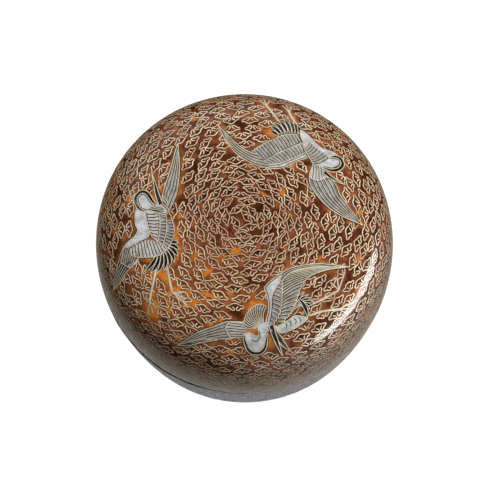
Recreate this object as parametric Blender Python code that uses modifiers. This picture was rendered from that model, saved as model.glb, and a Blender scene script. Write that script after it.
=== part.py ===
"""A round cloisonne box with a lift-off lid, turned about the Z axis.

Metres, +Z up. The origin is the middle of the foot ring's underside, and the lid is on.
"""

import math

import bpy

# Outside sizes
BODY_RADIUS = 0.045  # at the seam, where lid and base meet
LID_RISE = 0.0317  # from the lid's rim to the top of its crown
BASE_DEPTH = 0.034  # from the seam down to the underside
SEAM_GAP = 0.0003  # lid rim above base rim

# The lid's outline: crown, shoulder and wall are three arcs, each tangent to the next
CROWN_RADIUS = 0.213
SHOULDER_RADIUS = 0.016
LID_WALL_RADIUS = 0.079

# The base's outline: a wall arc, then a corner arc that ends level on the underside
BASE_WALL_RADIUS = 0.310
CORNER_RADIUS = 0.005

# Foot ring
FOOT_RADIUS = 0.034
FOOT_WIDTH = 0.0025
FOOT_HEIGHT = 0.002

# Copper with enamel on both faces
WALL = 0.002

# The collar inside the base that keeps the lid in place
COLLAR_THICKNESS = 0.001
COLLAR_RISE = 0.004  # above the seam
COLLAR_DROP = 0.003  # below the seam, where it is soldered to the wall
COLLAR_CLEARANCE = 0.0004  # between collar and lid

# How finely round things are cut into flats
TURN_STEPS = 72
CROWN_STEPS = 5
SHOULDER_STEPS = 8
WALL_STEPS = 4
CORNER_STEPS = 6

# Worked out from the sizes above
UNDERSIDE = FOOT_HEIGHT
SEAM = UNDERSIDE + BASE_DEPTH
LID_RIM = SEAM + SEAM_GAP
LID_TOP = LID_RIM + LID_RISE

GLAZE_BROWN = (0.085, 0.030, 0.012, 1.0)


def arc(centre, radius, first, last, steps):
    """Points of an arc about centre, from one angle to another. Angle 0 points up, 90 degrees outwards."""
    turns = [first + (last - first) * step / steps for step in range(steps + 1)]
    return [(centre[0] + radius * math.sin(turn), centre[1] + radius * math.cos(turn)) for turn in turns]


def meeting_point(centre_a, reach_a, centre_b, reach_b):
    """The outer of the two points that lie reach_a from centre_a and reach_b from centre_b."""
    across = (centre_b[0] - centre_a[0], centre_b[1] - centre_a[1])
    span = math.hypot(*across)
    along = (reach_a**2 - reach_b**2 + span**2) / (2 * span)
    aside = math.sqrt(reach_a**2 - along**2)
    return (
        centre_a[0] + (along * across[0] + aside * across[1]) / span,
        centre_a[1] + (along * across[1] - aside * across[0]) / span,
    )


def angle_of(centre, point):
    """The angle of a point about a centre, as arc counts it."""
    return math.atan2(point[0] - centre[0], point[1] - centre[1])


def lid_outline(depth):
    """The lid's surface at a depth below the outside, from the crown's middle out to the rim."""
    crown = (0.0, LID_TOP - CROWN_RADIUS)
    wall = (BODY_RADIUS - LID_WALL_RADIUS, LID_RIM)
    shoulder = meeting_point(crown, CROWN_RADIUS - SHOULDER_RADIUS, wall, LID_WALL_RADIUS - SHOULDER_RADIUS)
    crown_edge = angle_of(crown, shoulder)
    wall_top = angle_of(wall, shoulder)
    points = arc(crown, CROWN_RADIUS - depth, 0.0, crown_edge, CROWN_STEPS)
    points += arc(shoulder, SHOULDER_RADIUS - depth, crown_edge, wall_top, SHOULDER_STEPS)[1:]
    points += arc(wall, LID_WALL_RADIUS - depth, wall_top, math.pi / 2, WALL_STEPS)[1:]
    return points


def base_outline(depth, drop):
    """The base's surface at a depth below the outside, from drop under the seam to the corner's end."""
    wall = (BODY_RADIUS - BASE_WALL_RADIUS, SEAM)
    corner_height = UNDERSIDE + CORNER_RADIUS
    reach = BASE_WALL_RADIUS - CORNER_RADIUS
    corner = (wall[0] + math.sqrt(reach**2 - (SEAM - corner_height) ** 2), corner_height)
    wall_start = math.pi / 2 + math.asin(drop / (BASE_WALL_RADIUS - depth))
    wall_end = angle_of(wall, corner)
    points = arc(wall, BASE_WALL_RADIUS - depth, wall_start, wall_end, WALL_STEPS)
    points += arc(corner, CORNER_RADIUS - depth, wall_end, math.pi, CORNER_STEPS)[1:]
    return points


def lid_profile():
    """Down the lid's outside, across its rim and back up the inside to the axis."""
    return lid_outline(0.0) + lid_outline(WALL)[::-1]


def base_profile():
    """Out over the base's floor, up the inside and over the collar, then down the outside to the axis."""
    inside = base_outline(WALL, COLLAR_DROP)[::-1]
    floor = inside[0][1]
    collar_outside = BODY_RADIUS - WALL - COLLAR_CLEARANCE
    collar_inside = collar_outside - COLLAR_THICKNESS
    collar = [
        (collar_inside, SEAM - COLLAR_DROP),
        (collar_inside, SEAM + COLLAR_RISE),
        (collar_outside, SEAM + COLLAR_RISE),
        (collar_outside, SEAM),
    ]
    foot = [
        (FOOT_RADIUS, UNDERSIDE),
        (FOOT_RADIUS, 0.0),
        (FOOT_RADIUS - FOOT_WIDTH, 0.0),
        (FOOT_RADIUS - FOOT_WIDTH, UNDERSIDE),
    ]
    return [(0.0, floor)] + inside + collar + base_outline(0.0, 0.0) + foot + [(0.0, UNDERSIDE)]


def clear_scene():
    for thing in list(bpy.data.objects):
        bpy.data.objects.remove(thing, do_unlink=True)


def glaze(name, colour):
    """Polished enamel: glassy, with the metal wires under it left to the colour."""
    material = bpy.data.materials.new(name)
    material.use_nodes = True
    shader = material.node_tree.nodes["Principled BSDF"]
    shader.inputs["Base Color"].default_value = colour
    shader.inputs["Roughness"].default_value = 0.18
    shader.inputs["Metallic"].default_value = 0.0
    material.diffuse_color = colour
    return material


def turned(name, profile, material, collection):
    """A solid of revolution: the profile as an edge chain, and a Screw modifier about Z."""
    mesh = bpy.data.meshes.new(name)
    edges = [(i, i + 1) for i in range(len(profile) - 1)]
    mesh.from_pydata([(r, 0.0, z) for r, z in profile], edges, [])
    piece = bpy.data.objects.new(name, mesh)
    collection.objects.link(piece)
    mesh.materials.append(material)
    screw = piece.modifiers.new("Turn", "SCREW")
    screw.axis = "Z"
    screw.angle = 2 * math.pi
    screw.steps = TURN_STEPS
    screw.render_steps = TURN_STEPS
    screw.use_smooth_shade = True
    screw.use_merge_vertices = True
    screw.merge_threshold = 0.00001
    return piece


def build():
    clear_scene()
    box = bpy.data.collections.new("cloisonne_box")
    bpy.context.scene.collection.children.link(box)
    turned("lid", lid_profile(), glaze("lid_glaze", GLAZE_BROWN), box)
    turned("base", base_profile(), glaze("base_glaze", GLAZE_BROWN), box)


build()
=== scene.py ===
# %% [markdown]
# The object is a round box of enamelled copper: a deep bowl and a domed lid that lifts off. Thin
# gilt wires stand on the copper and draw clouds and three cranes, and enamel fills the cells
# between them. The CAD model gives the two shells at their true size. They are loaded first,
# because everything here is fitted to them.

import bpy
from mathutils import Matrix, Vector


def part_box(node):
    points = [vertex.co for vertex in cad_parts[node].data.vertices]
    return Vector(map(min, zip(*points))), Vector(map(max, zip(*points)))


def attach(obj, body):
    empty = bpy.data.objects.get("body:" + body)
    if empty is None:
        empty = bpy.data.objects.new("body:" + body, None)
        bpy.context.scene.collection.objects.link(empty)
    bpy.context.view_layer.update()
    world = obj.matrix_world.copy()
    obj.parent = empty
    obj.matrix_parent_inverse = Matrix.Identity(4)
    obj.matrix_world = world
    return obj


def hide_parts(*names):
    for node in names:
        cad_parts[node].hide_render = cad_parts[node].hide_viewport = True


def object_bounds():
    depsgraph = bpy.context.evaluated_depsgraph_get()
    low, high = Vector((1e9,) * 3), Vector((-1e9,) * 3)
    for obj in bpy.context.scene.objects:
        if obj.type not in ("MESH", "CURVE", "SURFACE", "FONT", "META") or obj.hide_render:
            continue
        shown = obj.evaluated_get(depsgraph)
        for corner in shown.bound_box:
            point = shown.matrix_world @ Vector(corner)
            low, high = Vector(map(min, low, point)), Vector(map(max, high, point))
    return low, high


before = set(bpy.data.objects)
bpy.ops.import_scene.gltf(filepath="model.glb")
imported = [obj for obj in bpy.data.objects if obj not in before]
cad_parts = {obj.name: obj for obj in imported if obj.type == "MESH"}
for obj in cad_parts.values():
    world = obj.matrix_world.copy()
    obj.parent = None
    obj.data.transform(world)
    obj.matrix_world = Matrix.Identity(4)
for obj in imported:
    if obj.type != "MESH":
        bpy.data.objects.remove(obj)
cad_low, cad_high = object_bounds()
print("CAD box in metres:", [round(value, 4) for value in (*cad_low, *cad_high)])

# %% [markdown]
# Blender's own modules do the modelling. The random generator gets a seed, so the hand-made
# unevenness of the clouds comes out the same on every run.

# %% Modules
import bisect
import itertools
import math
import random

import bmesh
import bpy
from mathutils import Matrix, Vector, kdtree

MM = 0.001
hand = random.Random(7)

# %% [markdown]
# The box is turned, so one outline says everything about its form. Its main sizes are read from the
# loaded pieces, and the radii of its arcs are the ones the shells were made with. A lathe pattern
# could be drawn point by point, but arcs that meet in a common tangent give the smooth shoulder of
# a real spun box.

# %% Sizes of the turned form
lid_low, lid_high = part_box("lid")
base_low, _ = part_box("base")
BODY_RADIUS = lid_high.x
LID_TOP = lid_high.z
LID_RIM = lid_low.z
SEAM_GAP = 0.3 * MM
SEAM = LID_RIM - SEAM_GAP
FOOT_HEIGHT = 2.0 * MM
UNDERSIDE = base_low.z + FOOT_HEIGHT
CROWN_RADIUS = 213 * MM
SHOULDER_RADIUS = 16 * MM
LID_WALL_RADIUS = 79 * MM
BASE_WALL_RADIUS = 310 * MM
CORNER_RADIUS = 5 * MM
WALL = 2 * MM
print("body radius", round(BODY_RADIUS, 4), "lid", round(LID_RIM, 4), "to", round(LID_TOP, 4))

# %% The outline as tangent arcs
def arc(centre, radius, first, last, steps):
    """Points of an arc about centre. Angle 0 points up, 90 degrees outwards."""
    across, up = centre
    turns = [first + (last - first) * step / steps for step in range(steps + 1)]
    return [(across + radius * math.sin(turn), up + radius * math.cos(turn)) for turn in turns]


def meeting_point(centre_a, reach_a, centre_b, reach_b):
    """The outer of the two points that lie reach_a from centre_a and reach_b from centre_b."""
    across = (centre_b[0] - centre_a[0], centre_b[1] - centre_a[1])
    span = math.hypot(*across)
    along = (reach_a**2 - reach_b**2 + span**2) / (2 * span)
    aside = math.sqrt(reach_a**2 - along**2)
    return (
        centre_a[0] + (along * across[0] + aside * across[1]) / span,
        centre_a[1] + (along * across[1] - aside * across[0]) / span,
    )


def angle_of(centre, point):
    return math.atan2(point[0] - centre[0], point[1] - centre[1])


def lid_outline(depth, steps):
    """The lid's surface at a depth below the outside, from the crown's middle out to the rim."""
    crown = (0.0, LID_TOP - CROWN_RADIUS)
    wall = (BODY_RADIUS - LID_WALL_RADIUS, LID_RIM)
    shoulder = meeting_point(
        crown, CROWN_RADIUS - SHOULDER_RADIUS, wall, LID_WALL_RADIUS - SHOULDER_RADIUS
    )
    crown_edge = angle_of(crown, shoulder)
    wall_top = angle_of(wall, shoulder)
    points = arc(crown, CROWN_RADIUS - depth, 0.0, crown_edge, steps)
    points += arc(shoulder, SHOULDER_RADIUS - depth, crown_edge, wall_top, steps)[1:]
    return points + arc(wall, LID_WALL_RADIUS - depth, wall_top, math.pi / 2, steps // 2)[1:]


def base_outline(depth, steps):
    """The base's surface at a depth below the outside, from the seam to the corner's end."""
    wall = (BODY_RADIUS - BASE_WALL_RADIUS, SEAM)
    corner_height = UNDERSIDE + CORNER_RADIUS
    reach = BASE_WALL_RADIUS - CORNER_RADIUS
    corner = (wall[0] + math.sqrt(reach**2 - (SEAM - corner_height) ** 2), corner_height)
    wall_end = angle_of(wall, corner)
    points = arc(wall, BASE_WALL_RADIUS - depth, math.pi / 2, wall_end, steps)
    return points + arc(corner, CORNER_RADIUS - depth, wall_end, math.pi, steps // 2)[1:]


print("lid arcs end at", [round(value, 4) for value in lid_outline(0.0, 4)[-1]])

# %% [markdown]
# The picture is drawn flat, in millimetres, and then laid over the dome, as a maker traces it from
# paper. A drawn point's distance from the middle becomes a walk down the outline, and its angle
# stays an angle round the axis. A shrink-wrap modifier could do it too, but this walk keeps every
# distance from the middle true.

# %% Lay a flat drawing over the box
TRACE_STEPS = 240


def lengths(path):
    """How far along a path each of its points lies."""
    steps = [math.dist(before, after) for before, after in zip(path, path[1:])]
    return [0.0, *itertools.accumulate(steps)]


def left_of(path, step):
    """The direction square to a path at one of its points, to the left, with length 1."""
    behind, ahead = path[max(step - 1, 0)], path[min(step + 1, len(path) - 1)]
    size = math.dist(behind, ahead)
    return ((behind[1] - ahead[1]) / size, (ahead[0] - behind[0]) / size)


lid_trace = lid_outline(0.0, TRACE_STEPS)
trace = lid_trace + base_outline(0.0, TRACE_STEPS)
walk = lengths(trace)
facing = [left_of(trace, step) for step in range(len(trace))]
LID_LENGTH = walk[len(lid_trace) - 1] / MM
BOX_LENGTH = walk[-1] / MM


def trace_step(distance):
    """The step of the outline in which a walk of that many millimetres ends, and its share."""
    step = min(max(bisect.bisect_right(walk, distance * MM), 1), len(walk) - 1)
    return step, (distance * MM - walk[step - 1]) / (walk[step] - walk[step - 1])


def radius_at(distance):
    """The box's radius, in millimetres, at the end of a walk from the crown's middle."""
    step, share = trace_step(distance)
    return (trace[step - 1][0] + share * (trace[step][0] - trace[step - 1][0])) / MM


def on_box(x, y, height):
    """The place on the box of a point drawn flat at x, y and standing height above the enamel."""
    step, share = trace_step(math.hypot(x, y))
    radius, level = (
        a + share * (b - a) + height * MM * (out_a + share * (out_b - out_a))
        for a, b, out_a, out_b in zip(trace[step - 1], trace[step], facing[step - 1], facing[step])
    )
    turn = math.atan2(y, x)
    return Vector((radius * math.cos(turn), radius * math.sin(turn), level))


def lay_on_box(verts):
    for vert in verts:
        vert.co = on_box(*vert.co)


print("the walk is", round(LID_LENGTH, 1), "mm on the lid and", round(BOX_LENGTH, 1), "in all")

# %% [markdown]
# The camera looks down on the box from about 75 degrees, and leans by a degree and a half, as the
# photograph's does. It stands 8.5 radii from the middle of the seam, where the ellipses of seam and
# lid come out right.

# %% Camera
CAMERA_ELEVATION = math.radians(75.1)
CAMERA_DISTANCE = 8.5 * BODY_RADIUS
CAMERA_LEAN = math.radians(-1.65)
PIXELS_PER_RADIUS = 146.55
PICTURE_WIDTH = 500
PICTURE_MIDDLE = (250.0, 250.0)
SEAM_MIDDLE_PIXEL = (244.55, 247.5)


def add_object(name, data):
    """A new object at the origin, put into the scene."""
    thing = bpy.data.objects.new(name, data)
    bpy.context.scene.collection.objects.link(thing)
    return thing


def looking(place, towards):
    """The matrix of a camera or a lamp at a place, looking in a direction."""
    return Matrix.Translation(place) @ towards.to_track_quat("-Z", "Y").to_matrix().to_4x4()


camera_data = bpy.data.cameras.new("camera")
camera = add_object("camera", camera_data)
bpy.context.scene.camera = camera
seam_middle = Vector((0.0, 0.0, SEAM))
backwards = Vector((0.0, -math.cos(CAMERA_ELEVATION), math.sin(CAMERA_ELEVATION)))
upright = looking(seam_middle + backwards * CAMERA_DISTANCE, -backwards)
camera.matrix_world = upright @ Matrix.Rotation(CAMERA_LEAN, 4, "Z")
camera_data.sensor_width = 36.0
focal_pixels = PIXELS_PER_RADIUS * CAMERA_DISTANCE / BODY_RADIUS
camera_data.lens = camera_data.sensor_width * focal_pixels / PICTURE_WIDTH
camera_data.shift_x = (PICTURE_MIDDLE[0] - SEAM_MIDDLE_PIXEL[0]) / PICTURE_WIDTH
camera_data.shift_y = (SEAM_MIDDLE_PIXEL[1] - PICTURE_MIDDLE[1]) / PICTURE_WIDTH
camera_data.clip_start = 0.02
print("lens", round(camera_data.lens, 1), "mm")

# %% [markdown]
# The light is plain studio light. A long softbox stands low on the right and draws the white band
# on the shoulder, and a wide dim screen stands behind. Two more give soft light only, one from
# above and one from the right. They are hidden from glossy rays, so they lay no haze over the dark
# enamel. The camera sees none of them.

# %% Lamps
def softbox(name, azimuth, low, high, spread, distance, radiance, diffuse=True, glossy=True):
    """A rectangular lamp seen from the box between two elevations, over a spread of azimuths."""
    turn, middle = math.radians(azimuth), math.radians((low + high) / 2)
    lamp = bpy.data.lights.new(name, "AREA")
    lamp.shape = "RECTANGLE"
    lamp.size = 2 * distance * math.tan(math.radians(spread / 2))
    lamp.size_y = 2 * distance * math.tan(math.radians((high - low) / 2))
    lamp.energy = radiance * math.pi * lamp.size * lamp.size_y
    thing = add_object(name, lamp)
    level = math.cos(middle)
    towards = Vector((level * math.cos(turn), level * math.sin(turn), math.sin(middle)))
    thing.matrix_world = looking(seam_middle + towards * distance, -towards)
    thing.visible_camera = False
    thing.visible_diffuse = diffuse
    thing.visible_glossy = glossy


softbox("softbox_right", -27, -2, 12, spread=54, distance=1.0, radiance=13.0, diffuse=False)
softbox("fill_right", 0, 0, 30, spread=50, distance=1.2, radiance=1.8, glossy=False)
softbox("screen_behind", 108, 2, 50, spread=76, distance=1.3, radiance=0.6)
softbox("softbox_above", 60, 50, 86, spread=70, distance=1.3, radiance=3.5, glossy=False)
bpy.context.scene.view_settings.view_transform = "Standard"

# %% [markdown]
# Every finish is a node material. These helpers keep the material cells short. The first makes a
# Principled shader with its plain values set on its own sockets, and the others add nodes, give
# them their inputs and hand back the output that the next node needs.

# %% Nodes and their inputs
def finish(name, **values):
    """A Principled material. The values are socket names with underscores for spaces."""
    material = bpy.data.materials.new(name)
    material.use_nodes = True
    shader = material.node_tree.nodes["Principled BSDF"]
    for socket, value in values.items():
        shader.inputs[socket.replace("_", " ")].default_value = value
    return material, shader


def feed(material, socket, value):
    """Gives a socket its input: a link from an output socket, or else a plain value."""
    if isinstance(value, bpy.types.NodeSocket):
        material.node_tree.links.new(value, socket)
    else:
        socket.default_value = value


def add_node(material, kind, inputs=(), **settings):
    """A node with its settings and its inputs."""
    node = material.node_tree.nodes.new(kind)
    for setting, value in settings.items():
        setattr(node, setting, value)
    for socket, value in dict(inputs).items():
        feed(material, node.inputs[socket], value)
    return node


# %% Patterns and surfaces
def noise(material, place, scale, detail=2.0, roughness=0.5):
    """Cloudy noise, from 0 to 1. The scale is in cells to the metre."""
    inputs = {"Vector": place, "Scale": scale, "Detail": detail, "Roughness": roughness}
    return add_node(material, "ShaderNodeTexNoise", inputs).outputs["Fac"]


def ramp(material, factor, stops):
    """A colour ramp whose stops are pairs of place and colour, where one number is a grey."""
    node = add_node(material, "ShaderNodeValToRGB", {"Fac": factor})
    node.color_ramp.interpolation = "EASE"
    elements = node.color_ramp.elements
    while len(elements) < len(stops):
        elements.new(0.5)
    for element, (place, colour) in zip(elements, stops):
        element.position = place
        element.color = (*colour, 1.0) if isinstance(colour, tuple) else (colour,) * 3 + (1.0,)
    return node.outputs["Color"]


def maths(material, operation, *values):
    inputs = dict(enumerate(values))
    return add_node(material, "ShaderNodeMath", inputs, operation=operation).outputs[0]


def mix(material, factor, first, second, kind="MIX"):
    node = add_node(material, "ShaderNodeMix", data_type="RGBA", blend_type=kind)
    sockets = {socket.identifier: socket for socket in (*node.inputs, *node.outputs)}
    feed(material, sockets["Factor_Float"], factor)
    feed(material, sockets["A_Color"], first)
    feed(material, sockets["B_Color"], second)
    return sockets["Result_Color"]


def object_place(material):
    return add_node(material, "ShaderNodeTexCoord").outputs["Object"]


def surfaced(material, shader, place, colour, scale, height):
    """Gives a material its colour, and waves of a height in metres, as hand-ground enamel has."""
    inputs = {"Height": noise(material, place, scale), "Distance": height, "Strength": 1.0}
    bump = add_node(material, "ShaderNodeBump", inputs)
    feed(material, shader.inputs["Normal"], bump.outputs["Normal"])
    feed(material, shader.inputs["Base Color"], colour)
    return material


# %% [markdown]
# A glossy thing shows its form by what it reflects, so the room matters as much as the lamps. The
# world shader paints it by direction: a pale table below, brighter towards the lamp, a dark side at
# the front left, and a dark ceiling, which keeps the middle of the lid deep in colour. A picture of
# a real studio would do as well, but two ramps over the height of the direction say plainly what is
# bright and what is dark.

# %% Room
LAMP_SIDE = math.radians(-38)
world = bpy.data.worlds.new("room")
bpy.context.scene.world = world
world.use_nodes = True
direction = add_node(world, "ShaderNodeTexCoord").outputs["Generated"]
parts = add_node(world, "ShaderNodeSeparateXYZ", {"Vector": direction}).outputs
height = maths(world, "MULTIPLY_ADD", parts["Z"], 0.5, 0.5)
dark_side = ramp(world, height, [
    (0.000, (0.44, 0.49, 0.60)),
    (0.006, (0.44, 0.48, 0.57)),
    (0.010, (0.47, 0.46, 0.43)),
    (0.030, (0.43, 0.40, 0.35)),
    (0.050, (0.35, 0.31, 0.25)),
    (0.075, (0.28, 0.24, 0.18)),
    (0.14, (0.20, 0.17, 0.12)),
    (0.26, (0.03, 0.02, 0.02)),
    (0.66, 0.03),
    (0.78, (0.16, 0.17, 0.18)),
    (0.92, 0.05),
])
lamp_side = ramp(world, height, [
    (0.00, (0.50, 0.53, 0.58)),
    (0.20, (0.68, 0.69, 0.70)),
    (0.48, 0.58),
    (0.62, 0.30),
    (0.80, (0.20, 0.21, 0.22)),
    (0.92, 0.05),
])
sideways = maths(world, "MULTIPLY", parts["X"], math.cos(LAMP_SIDE))
towards_lamp = maths(world, "MULTIPLY_ADD", parts["Y"], math.sin(LAMP_SIDE), sideways)
share = ramp(world, towards_lamp, [(0.35, 0.0), (0.95, 1.0)])
background = world.node_tree.nodes["Background"]
feed(world, background.inputs["Color"], mix(world, share, dark_side, lamp_side))
print("room nodes:", len(world.node_tree.nodes))

# %% [markdown]
# The ground enamel is a clear red-brown over bright foil and copper, so it glows amber wherever the
# brown is thin. Noise drives a ramp from near black through red-brown to amber. An attribute named
# amber, painted on the lid's mesh further down, makes the glow stronger beside the cranes, and rare
# bright flecks lie between the clouds. Small dark specks are pits and grains.

# %% Ground enamel
GLOSS = 0.10
GLASS_IOR = 1.5
WAVE_SCALE = 330.0
WAVE_HEIGHT = 0.03 * MM


def with_amber(material, glow):
    """The glow plus the attribute that is painted on the mesh."""
    attribute = add_node(material, "ShaderNodeAttribute", attribute_name="amber")
    return maths(material, "ADD", glow, attribute.outputs["Fac"])


def ground_enamel(name, painted):
    material, shader = finish(name, Roughness=GLOSS, IOR=GLASS_IOR)
    place = object_place(material)
    patches = noise(material, place, 230.0, 2.0, 0.55)
    mottle = noise(material, place, 900.0, 3.0, 0.6)
    glow = maths(material, "MULTIPLY_ADD", mottle, 0.30, patches)
    if painted:
        flecks = ramp(material, noise(material, place, 300.0, 0.0), [(0.65, 0.0), (0.76, 0.30)])
        glow = maths(material, "ADD", with_amber(material, glow), flecks)
    colour = ramp(material, glow, [
        (0.44, (0.050, 0.012, 0.003)),
        (0.60, (0.100, 0.024, 0.006)),
        (0.76, (0.250, 0.072, 0.028)),
        (0.88, (0.400, 0.115, 0.026)),
        (1.00, (0.700, 0.220, 0.024)),
    ])
    dark = ramp(material, noise(material, place, 2600.0, 1.0), [(0.30, 0.25), (0.38, 1.0)])
    colour = mix(material, 1.0, colour, dark, "MULTIPLY")
    return surfaced(material, shader, place, colour, WAVE_SCALE, WAVE_HEIGHT)


LID_GROUND = ground_enamel("lid_ground_enamel", painted=True)
BASE_GROUND = ground_enamel("base_ground_enamel", painted=False)
print("ground enamels:", LID_GROUND.name, BASE_GROUND.name)

# %% [markdown]
# The clouds are filled with a slightly deeper brown that turns redder here and there. A
# near-black band lies along every wire, partly the enamel's own darkening against the metal and
# partly painted shade.

# %% Cloud enamel
def cloud_enamel(name, painted):
    material, shader = finish(name, Roughness=GLOSS, IOR=GLASS_IOR)
    place = object_place(material)
    glow = noise(material, place, 420.0, 2.0, 0.6)
    if painted:
        glow = with_amber(material, glow)
    colour = ramp(material, glow, [
        (0.30, (0.035, 0.009, 0.002)),
        (0.48, (0.095, 0.025, 0.007)),
        (0.66, (0.250, 0.066, 0.016)),
        (0.90, (0.470, 0.140, 0.025)),
    ])
    return surfaced(material, shader, place, colour, WAVE_SCALE, WAVE_HEIGHT)


# The near-black band along every wire is partly darker enamel and partly painted shade.
def wire_shade_enamel(name):
    material, shader = finish(name, Roughness=GLOSS, IOR=GLASS_IOR)
    patches = noise(material, object_place(material), 500.0, 2.0, 0.6)
    colour = ramp(material, patches, [(0.40, (0.008, 0.004, 0.001)), (0.65, (0.026, 0.010, 0.003))])
    feed(material, shader.inputs["Base Color"], colour)
    return material


CLOUD_BROWNS = {
    "lid": cloud_enamel("lid_cloud_enamel", painted=True),
    "base": cloud_enamel("base_cloud_enamel", painted=False),
}
WIRE_SHADE_BROWN = wire_shade_enamel("wire_shade_enamel")
print("cloud enamels:", [brown.name for brown in (*CLOUD_BROWNS.values(), WIRE_SHADE_BROWN)])

# %% [markdown]
# The cranes are white, grey and black. The white is a cool opaque enamel, a little greyer in
# places, with a few pits. Most feathers are a middle grey, and the wing tips are slate.

# %% White, grey and black enamel
def opaque_enamel(name, deep, light, pitted):
    material, shader = finish(name, Roughness=0.2, IOR=GLASS_IOR)
    place = object_place(material)
    tone = noise(material, place, 500.0, 3.0, 0.6)
    colour = ramp(material, tone, [(0.35, deep), (0.65, light)])
    if pitted:
        pits = noise(material, place, 1500.0, 1.0)
        dark = ramp(material, pits, [(0.26, (0.35, 0.33, 0.32)), (0.31, 1.0)])
        colour = mix(material, 1.0, colour, dark, "MULTIPLY")
    return surfaced(material, shader, place, colour, 400.0, 0.02 * MM)


ENAMELS = {
    "white": opaque_enamel("white_enamel", (0.48, 0.47, 0.47), (0.73, 0.73, 0.75), True),
    "grey": opaque_enamel("feather_enamel", 0.20, 0.43, True),
    "slate": opaque_enamel("slate_enamel", (0.035, 0.040, 0.045), (0.120, 0.130, 0.140), False),
    "black": opaque_enamel("black_enamel", (0.008, 0.008, 0.010), (0.030, 0.030, 0.034), False),
}
print("crane enamels:", list(ENAMELS))

# %% [markdown]
# The wires are gilt and ground flush with the enamel, which leaves them satin rather than mirror
# bright, and a last polish and wax gives wire and enamel the same gloss, so they get a clear coat.
# Their tone drifts between pale gold and a rosier copper where the gilding is worn, most of all on
# top of the lid. The painted shade in the seam is nearly black and dull.

# %% Gilt wire
WORN_REACH = 24 * MM
WORN_MOST = 0.20


def gilt(name, pale, worn, metal, roughness):
    coat = {"Coat_Weight": 1.0, "Coat_Roughness": 0.13}
    material, shader = finish(name, Metallic=metal, Roughness=roughness, **coat)
    place = object_place(material)
    inputs = {"Vector": place, "Location": (0.0, 0.0, -LID_TOP)}
    from_top = add_node(material, "ShaderNodeMapping", inputs).outputs["Vector"]
    reach = add_node(material, "ShaderNodeVectorMath", {0: from_top}, operation="LENGTH")
    reach = reach.outputs["Value"]
    near_top = maths(material, "MULTIPLY_ADD", reach, -WORN_MOST / WORN_REACH, WORN_MOST)
    wear = noise(material, place, 350.0, 3.0, 0.6)
    wear = maths(material, "ADD", wear, maths(material, "MAXIMUM", near_top, 0.0))
    colour = ramp(material, wear, [(0.35, pale), (0.68, worn)])
    return surfaced(material, shader, place, colour, 1200.0, 0.02 * MM)


WIRE_GILT = gilt("gilt_wire", (1.00, 0.78, 0.51), (0.66, 0.41, 0.25), 0.20, 0.6)
CRANE_GILT = gilt("feather_gilt", (0.88, 0.79, 0.60), (0.68, 0.56, 0.38), 0.25, 0.6)
RIM_GILT = gilt("gilt_rim", (0.98, 0.86, 0.62), (0.70, 0.56, 0.38), 0.75, 0.34)
# A dull near-black material for the painted shade in the seam.
SEAM_SHADE_BLACK, _ = finish("seam_shade", Base_Color=(0.010, 0.008, 0.005, 1.0), Roughness=0.7)
print("materials:", len(bpy.data.materials))

# %% [markdown]
# Each piece is finished the same way: its bmesh becomes an object at the origin, shaded smooth, and
# it rides on the one body. Sharp creases are marked by angle, so a shell's rim stays crisp while
# its dome stays smooth.

# %% Finish a piece
def kept_mesh(name, bm):
    """The mesh of a bmesh that is done with."""
    mesh = bpy.data.meshes.new(name)
    bm.to_mesh(mesh)
    bm.free()
    return mesh


def make_piece(bm, name, material, crease=40.0):
    mesh = kept_mesh(name, bm)
    mesh.materials.append(material)
    mesh.shade_smooth()
    mesh.set_sharp_from_angle(angle=math.radians(crease))
    piece = add_object(name, mesh)
    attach(piece, "root")
    print(name, len(mesh.polygons), "faces")
    return piece


# %% [markdown]
# Lid and base are turned shells, as the real ones are spun from copper sheet. The profile is a
# chain of edges in the XZ plane, and one full spin about Z closes it into a wall of true thickness.

# %% Turn a profile
TURN_STEPS = 360


def turned(profile):
    """A profile of radius and height spun about the Z axis."""
    bm = bmesh.new()
    corners = [bm.verts.new((radius, 0.0, level)) for radius, level in profile]
    closed = profile[0][0] > 0.0 or profile[-1][0] > 0.0
    ends = corners[1:] + corners[:1] if closed else corners[1:]
    edges = [bm.edges.new(pair) for pair in zip(corners, ends)]
    bmesh.ops.spin(
        bm, geom=corners + edges, cent=(0, 0, 0), axis=(0, 0, 1), dvec=(0, 0, 0),
        angle=2 * math.pi, steps=TURN_STEPS, use_merge=True, use_duplicate=False,
    )
    bmesh.ops.remove_doubles(bm, verts=bm.verts[:], dist=0.001 * MM)
    bmesh.ops.recalc_face_normals(bm, faces=bm.faces[:])
    return bm


# %% [markdown]
# The enamel stops just short of each shell's edge, where a gilt rim protects it. The underside and
# the inside carry the same brown enamel without wires, as the counter-enamel that keeps the copper
# from warping.

# %% Lid and base shells
RIM_HEIGHT = 0.45 * MM
CUT_MARGIN = 0.05 * MM
OUTER_STEPS = 44
INNER_STEPS = 14


def cut_below(points, level):
    """The part of an outline above a level, ended exactly at that level."""
    kept = [point for point in points if point[1] > level + CUT_MARGIN]
    return kept + [(kept[-1][0], level)]


def cut_above(points, level):
    """The part of an outline under a level, started exactly at that level."""
    kept = [point for point in points if point[1] < level - CUT_MARGIN]
    return [(kept[0][0], level)] + kept


outer = cut_below(lid_outline(0.0, OUTER_STEPS), LID_RIM + RIM_HEIGHT)
inner = cut_below(lid_outline(WALL, INNER_STEPS), LID_RIM + RIM_HEIGHT)
lid = make_piece(turned(outer + inner[::-1]), "lid_shell", LID_GROUND)
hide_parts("lid")
outer = cut_above(base_outline(0.0, OUTER_STEPS), SEAM - RIM_HEIGHT)
inner = cut_above(base_outline(WALL, INNER_STEPS), SEAM - RIM_HEIGHT)
base_profile = [(0.0, inner[-1][1]), *inner[::-1], *outer, (0.0, UNDERSIDE)]
base = make_piece(turned(base_profile), "base_shell", BASE_GROUND)
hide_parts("base")
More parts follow.
